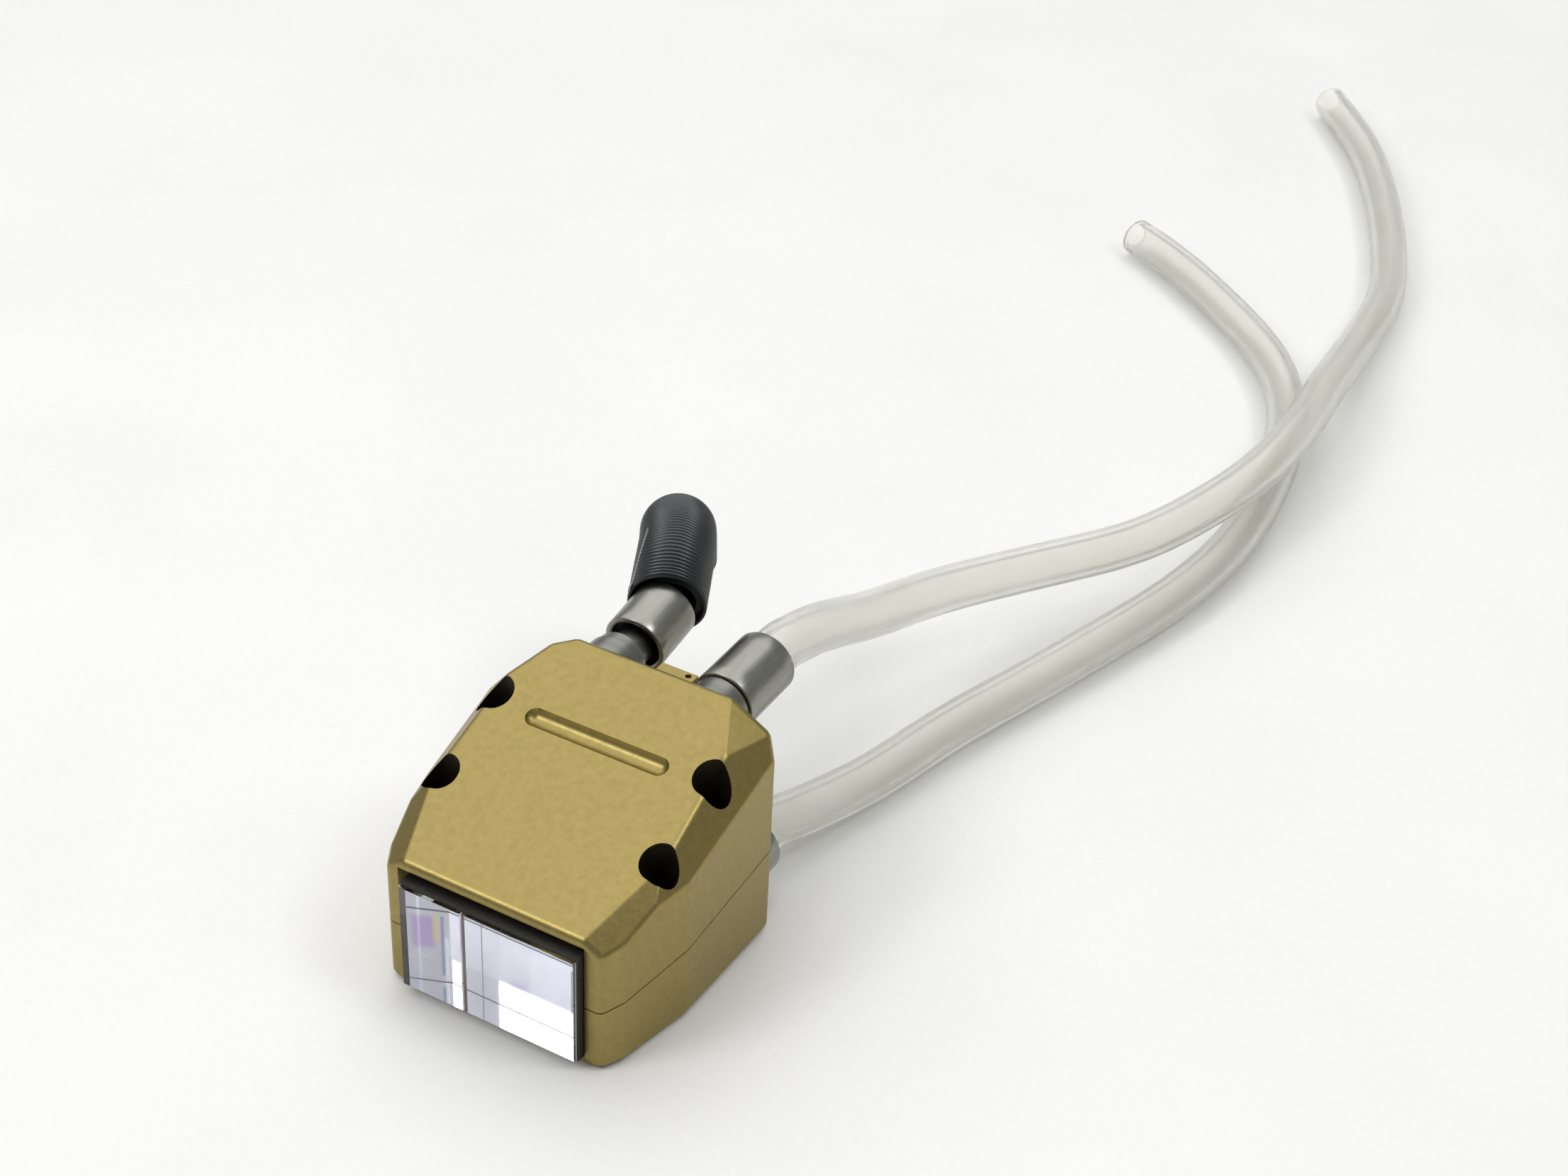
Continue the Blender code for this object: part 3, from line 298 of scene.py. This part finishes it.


# ---------------------------------------------------------------- prism window
# Two clear polished glass prisms side by side with a thin joint between them. Behind their hidden faces
# lies a pale coating with a few coloured and dark edges painted in as reflections; it glows as painted light.
GLASS_TOP, GLASS_FOOT = 20.5, 1.8
glass = bpy.data.materials.new("polished_optical_glass")
glass.use_nodes = True
glass_shader = glass.node_tree.nodes["Principled BSDF"]
glass_shader.inputs["Base Color"].default_value = linear("#f7f9fc")
glass_shader.inputs["Transmission Weight"].default_value = 1.0
glass_shader.inputs["IOR"].default_value = 1.52
smudge = node(glass.node_tree, "ShaderNodeTexCoord").outputs["Object"]
smudge = node(glass.node_tree, "ShaderNodeTexNoise", Vector=smudge, Scale=1 / (3.0 * MM), Detail=5.0)
haze = node(
    glass.node_tree, "ShaderNodeMapRange", Value=smudge.outputs["Fac"],
    From_Min=0.45, From_Max=0.8, To_Min=0.0, To_Max=0.05
)
glass.node_tree.links.new(haze.outputs[0], glass_shader.inputs["Roughness"])
for prism in ("left_prism", "right_prism"):
    dressed(f"{prism}_glass", prism, (glass,), "housing", "prism_glass", 0.05 * MM)


def mask_box(tree, place, x, z, soft_mm):
    """1 inside a rectangle of x and z in millimetres and 0 outside, over a soft edge."""
    parts = node(tree, "ShaderNodeSeparateXYZ", Vector=place)
    total = None
    for axis, (low, high) in (("X", x), ("Z", z)):
        for edge, sign in ((low, 1), (high, -1)):
            rise = node(
                tree, "ShaderNodeMapRange", Value=parts.outputs[axis],
                From_Min=(edge - sign * soft_mm) * MM, From_Max=(edge + sign * soft_mm) * MM
            ).outputs[0]
            if total is None:
                total = rise
            else:
                total = node(tree, "ShaderNodeMath", {"operation": "MULTIPLY"}, _0=total, _1=rise).outputs[0]
    return total


glowing_backing = finish("coating_with_painted_reflections_and_glow", "#e2e2ec", "#ececf4", 4.0, (0.1, 0.16), 0.5, 0.8, 0.0)
silver_tree = glowing_backing.node_tree
silver_shader = silver_tree.nodes["Principled BSDF"]
silver_place = node(silver_tree, "ShaderNodeTexCoord").outputs["Object"]
painted_reflection_colour = silver_shader.inputs["Base Color"].links[0].from_socket
# Each box below is a coloured or dark edge painted on the coating as a reflection seen through the glass.
for x, z, soft, reflected_tint, share in (
    ((-14.4, -11.2), (8.2, 14.2), 0.5, "#cfb4ec", 0.8),
    ((-11.3, -10.7), (9.5, 15.0), 0.2, "#ffe9a8", 0.9),
    ((-10.3, -9.9), (3.0, 14.5), 0.15, "#6f9cc6", 0.7),
    ((1.4, 4.4), (5.6, 7.6), 0.9, "#c9b6e6", 0.6),
    ((11.9, 12.2), (3.0, 14.6), 0.1, "#54616f", 0.8),
    ((-15.0, 15.0), (15.4, 15.7), 0.08, "#35373b", 0.9),
):
    painted_reflection_spot = mask_box(silver_tree, silver_place, x, z, soft)
    painted_reflection_spot = node(silver_tree, "ShaderNodeMath", {"operation": "MULTIPLY"}, _0=painted_reflection_spot, _1=share).outputs[0]
    painted_reflection_colour = node(
        silver_tree, "ShaderNodeMix", {"data_type": "RGBA"}, _0=painted_reflection_spot, _6=painted_reflection_colour, _7=linear(reflected_tint)
    ).outputs[2]
silver_tree.links.new(painted_reflection_colour, silver_shader.inputs["Base Color"])
silver_tree.links.new(painted_reflection_colour, silver_shader.inputs["Emission Color"])
# The coating glows a little: painted light that brightens the window, though it is no lamp.
silver_shader.inputs["Emission Strength"].default_value = 0.42

COAT = 0.06
FRONT_TO_MIDDLE = 20.75
MITRE = 0.41
for side, outward, outline in (
    ("left", -1, ((-4.3, 6.9), (-9.04, 6.9), (-15.06, 1.55), (-15.06, -1.4))),
    ("right", 1, ((-3.5, 6.9), (12.84, 6.9), (15.06, 4.64), (15.06, -1.2))),
):
    # Each corner is put back from the glass by the coat, mitred round the two bends. The ring of
    # both outlines runs anticlockwise, and each cap is a strip of quads from one end to the other.
    plan = np.array(outline)
    back = plan + COAT * np.array([(0, 1), (MITRE * outward, 1), (outward, MITRE), (outward, 0)])
    ring = np.vstack([plan, back[::-1]])[::outward] - (0, FRONT_TO_MIDDLE)
    count = len(ring)
    heights = np.repeat((GLASS_FOOT, GLASS_TOP), count)
    points = np.column_stack([np.tile(ring, (2, 1)), heights]) * MM
    k, cap = np.arange(count), np.arange(count // 2 - 1)
    k_next = (k + 1) % count
    walls = np.stack([k, k_next, k_next + count, k + count], axis=1)
    cap = np.stack([cap, cap + 1, count - 2 - cap, count - 1 - cap], axis=1)
    mesh = bpy.data.meshes.new(f"{side}_silvering")
    mesh.from_pydata(points.tolist(), [], np.vstack([walls, cap[:, ::-1], cap + count]).tolist())
    mesh.materials.append(glowing_backing)
    coat = bpy.data.objects.new(f"{side}_silvering", mesh)
    bpy.context.scene.collection.objects.link(coat)
    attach(coat, "housing")


# ---------------------------------------------------------------- window surround
# A shield of thin sheet, painted a sooty black, over the top and right of the glass. A dull foil
# between the two prisms shows as one brown line.
soot = finish("matt_black_paint", "#0f0d09", "#241f17", 1.6, (0.45, 0.7), 0.0, 0.25, 0.006, (4, 1, 1))
foil = finish("dull_bronze_foil", "#6a5f56", "#85796e", 1.2, (0.3, 0.5), 0.2)
dressed("sooty_light_shield", "light_shield", (soot,), "housing", "black_plastic", 0.1 * MM)
dressed("foil_joint", "prism_divider", (foil,), "housing", "bronze_foil")


# ---------------------------------------------------------------- inside the housing
# The slit, lens, detector and cold block, seen only in a cut or in the dark gaps. Milled grey
# aluminium, black plastic, a green circuit board, rubber and nickel.
insides = (
    (("prism_carrier", "lens_retainer", "board_connector", "detector_chip"),
     finish("black_moulded_plastic", "#101010", "#1c1b19", 2.0, (0.45, 0.6))),
    (("slit_plate",), finish("polished_steel_foil", "#8a8a88", "#a3a3a0", 2.0, (0.2, 0.32), 1.0)),
    (("lens_barrel", "optics_bench", "cold_block_cover"),
     finish("milled_grey_aluminium", "#5e5f62", "#77787b", 1.5, (0.35, 0.5), 1.0, stretch=(6, 1, 1))),
    (("collimating_lens",), glass),
    (("detector_board",),
     finish("green_circuit_board", "#0c3a22", "#15523a", 1.2, (0.35, 0.5), 0.0, 0.5, 0.01)),
    (("thermal_pad",), finish("grey_silicone_pad", "#6e747c", "#858b92", 1.0, (0.7, 0.85))),
    (("signal_lead", "cover_seal", "upper_washer", "lower_washer", "cable_washer"),
     finish("black_rubber", "#0d0d0e", "#19191b", 0.8, (0.6, 0.8))),
    (("cold_block",), finish("nickelled_copper", "#9a7458", "#b58a6a", 3.0, (0.3, 0.45), 1.0)),
)
for node_names, material in insides:
    for node_name in node_names:
        nodes[node_name].data.materials.clear()
        nodes[node_name].data.materials.append(material)


# ---------------------------------------------------------------- fittings
# Turned stainless nipples screwed into the rear face, and drawn steel sleeves over them. The
# tubes keep long faint drawing lines, a bright broken edge at each end and a few dull marks.
steel = finish(
    "drawn_stainless_steel", "#8e8e87", "#9c9c94", 1.6, (0.27, 0.34), 1.0, 0.3, 0.001, stretch=(1, 14, 1)
)
turned_steel = finish(
    "turned_stainless_steel", "#7a7a76", "#8a8a85", 1.2, (0.3, 0.38), 1.0, 0.18, 0.002, stretch=(6, 1, 6)
)
for name, node_name in (
    ("upper_nipple_turned", "hose_nipple_upper"),
    ("lower_nipple_turned", "hose_nipple_lower"),
    ("cable_nipple_turned", "cable_nipple"),
):
    dressed(name, node_name, (turned_steel,), "housing", "bright_steel", 0.1 * MM)

SLEEVE_R = 5.2
BROKEN = 0.22
LIFT, YAW = math.radians(7.5), math.radians(1.7)
SWIVEL = np.array((-9.0, 30.25, 33.5))
LEAN = np.array((-math.sin(YAW) * math.cos(LIFT), math.cos(YAW) * math.cos(LIFT), math.sin(LIFT)))
STRAIGHT = np.array((0.0, 1.0, 0.0))
for name, node_name, body, start, along, length, bore in (
    ("upper_hose_sleeve", "hose_sleeve", "sleeve", np.array((10.0, 25.05, 33.5)), STRAIGHT, 12.8, 4.2),
    ("lower_hose_ferrule", "hose_ferrule", "housing", np.array((15.6, 22.35, 8.5)), STRAIGHT, 3.4, 4.2),
    ("cable_end_sleeve", "cable_sleeve", "cable_end", SWIVEL, LEAN, 10.0, 4.3),
):
    line = (start + np.array((0, 0.5, 1))[:, None] * length * along) * MM
    profile = [(0, bore + BROKEN), (0, SLEEVE_R - BROKEN)]
    profile += [(BROKEN / 2, SLEEVE_R - BROKEN / 4), (BROKEN, SLEEVE_R)]
    profile += [(share * length, SLEEVE_R) for share in (0.2, 0.4, 0.6, 0.8)]
    profile += [(length - BROKEN, SLEEVE_R), (length - BROKEN / 2, SLEEVE_R - BROKEN / 4)]
    profile += [(length, SLEEVE_R - BROKEN), (length, bore + BROKEN), (length - BROKEN, bore), (BROKEN, bore)]
    sleeve = swept(name, line, np.array(profile) * MM, steel, (0, 0, 1), sides=96)
    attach(sleeve, body)
    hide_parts(node_name)


# ---------------------------------------------------------------- cable boot
# A close-wound wire spring under a thin skin of black rubber, so it shows fine rings. It fits
# loosely round the sleeve's end, bends down behind it, and one wire end stands out at its mouth.
BOOT_R, BOOT_BORE, BOOT_STEP = 6.3, 5.75, 0.5
RING_PITCH, RING_DEPTH = 0.72, 0.34
BOOT_ROUTE = (
    (-0.3, 9.9, 1.8), (-3.4, 16.6, 3.1), (-6.9, 23.6, 2.9), (-9.8, 28.5, 1.5),
    (-11.6, 31.5, -0.9), (-12.6, 33.5, -4.5), (-13.0, 34.3, -8.0),
)
boot_rubber = finish("black_rubber_skin", "#0f1216", "#181d22", 3.0, (0.28, 0.38), 0.0, 0.35, 0.004)
boot_rubber.node_tree.nodes["Principled BSDF"].inputs["Specular IOR Level"].default_value = 0.8
teal_liner = finish("dark_teal_plastic", "#121a1c", "#222e30", 2.0, (0.35, 0.5))

boot_line = smooth_line(SWIVEL + np.array(BOOT_ROUTE), BOOT_STEP)
boot_long = distances(boot_line)[-1]
first_ring = 0.5
s = np.arange(first_ring, boot_long - 0.4, RING_PITCH / 8)
ring = np.abs(np.sin(math.pi * (s - first_ring) / RING_PITCH)) ** 0.7
outer = np.column_stack([s, BOOT_R - RING_DEPTH * (1 - ring)])
mouth = [(0.1, BOOT_BORE + 0.05), (0, BOOT_BORE + 0.2), (0, BOOT_R - 0.15), (0.15, BOOT_R)]
tail = [(boot_long - 0.1, BOOT_R), (boot_long, BOOT_R - 0.15), (boot_long, BOOT_BORE + 0.1)]
inner = [(distance, BOOT_BORE) for distance in np.linspace(boot_long - 0.2, 0.3, 60)]
profile = np.vstack([mouth, outer, tail, inner]) * MM
boot = swept("ringed_cable_boot", boot_line * MM, profile, boot_rubber, (1, 0, 0), sides=72)
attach(boot, "cable_end")
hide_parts("cable_boot")

# The wire end sticks out of the mouth at its upper left, then lies along the boot's side.
WIRE_R, WIRE_ALONG, WIRE_OUT = 0.22, 13.0, 6.15
spring_steel = finish("spring_steel", "#6a6a6a", "#8f8f8c", 1.0, (0.3, 0.4), 0.8)
rows = 31
slopes = np.gradient(boot_line, axis=0)[:rows]
slopes /= np.linalg.norm(slopes, axis=1)[:, None]
first = np.array((1.0, 0, 0)) - slopes[:, :1] * slopes
first /= np.linalg.norm(first, axis=1)[:, None]
walk = np.linspace(0, WIRE_ALONG, 30)
centre, first, up = (
    read_at(walk, np.arange(rows) * BOOT_STEP, values)
    for values in (boot_line[:rows], first, np.cross(slopes, first))
)
out = (WIRE_OUT + 0.35 * np.exp(-walk / 1.2))[:, None]
around = (math.radians(212) + walk * 0.012)[:, None]
wire_line = centre + out * (np.cos(around) * first + np.sin(around) * up)
wire_line = np.vstack([wire_line[0] - slopes[0] * 1.1, wire_line])
wire_long = distances(wire_line)[-1]
walk = np.linspace(0.2, wire_long - 0.2, 50)
profile = [(0, 0.04), (0.05, 0.14), *[(s, WIRE_R) for s in walk]]
profile += [(wire_long - 0.05, 0.14), (wire_long, 0.04), *[(s, 0.02) for s in walk[::-1]]]
wire = swept("boot_wire_end", wire_line * MM, np.array(profile) * MM, spring_steel, (1, 0, 0), sides=16)
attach(wire, "cable_end")

# The plastic liner starts inside the steel sleeve's end and follows the boot a little below its line.
LINER_R, LINER_BORE = 5.2, 4.0
liner_line = smooth_line(SWIVEL + np.array(BOOT_ROUTE)[1:] - (0, 0, 0.4), 0.8)
liner_line = np.vstack([SWIVEL + LEAN * 11.2, liner_line])
liner_line = smooth_line(liner_line[::4], 0.8)
liner_long = distances(liner_line)[-1] - 0.6
walk = np.linspace(0, liner_long, 40)
profile = [(s, LINER_R) for s in walk] + [(s, LINER_BORE) for s in walk[::-1]]
liner = swept("cable_boot_liner", liner_line * MM, np.array(profile) * MM, teal_liner, (1, 0, 0), sides=48)
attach(liner, "cable_end")
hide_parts("cable_liner")


# ---------------------------------------------------------------- table and light
# A plain pale table top under a big soft light from behind and the left, with two smaller ones in
# front and to the right that draw bright lines along the rounded edges.
table = finish("pale_table_top", "#efefed", "#f4f4f2", 60.0, (0.5, 0.6), 0.0, 1.2, 0.004)
mesh = bpy.data.meshes.new("table_top")
corners = [(-1.6, -1.6, 0), (1.6, -1.6, 0), (1.6, 1.6, 0), (-1.6, 1.6, 0)]
mesh.from_pydata(corners, [], [(0, 1, 2, 3)])
mesh.materials.append(table)
floor = bpy.data.objects.new("table_top", mesh)
bpy.context.scene.collection.objects.link(floor)

world = bpy.data.worlds.new("room")
world.use_nodes = True
sky = world.node_tree.nodes["Background"]
sky.inputs["Color"].default_value = linear("#f6f6f6")
sky.inputs["Strength"].default_value = 0.36
bpy.context.scene.world = world
bpy.context.scene.view_settings.view_transform = "Standard"

for name, place, size, watts in (
    ("overhead_window", (-0.5, 0.5, 1.5), 2.6, 26.0),
    ("front_window", (-0.42, -0.58, 0.76), 0.3, 2.2),
    ("right_window", (0.52, 0.16, 0.82), 0.26, 1.4),
):
    lamp = bpy.data.lights.new(name, "AREA")
    lamp.shape = "SQUARE"
    lamp.size = size
    lamp.energy = watts
    made = bpy.data.objects.new(name, lamp)
    bpy.context.scene.collection.objects.link(made)
    made.location = place
    made.rotation_euler = (-Vector(place)).to_track_quat("-Z", "Y").to_euler()
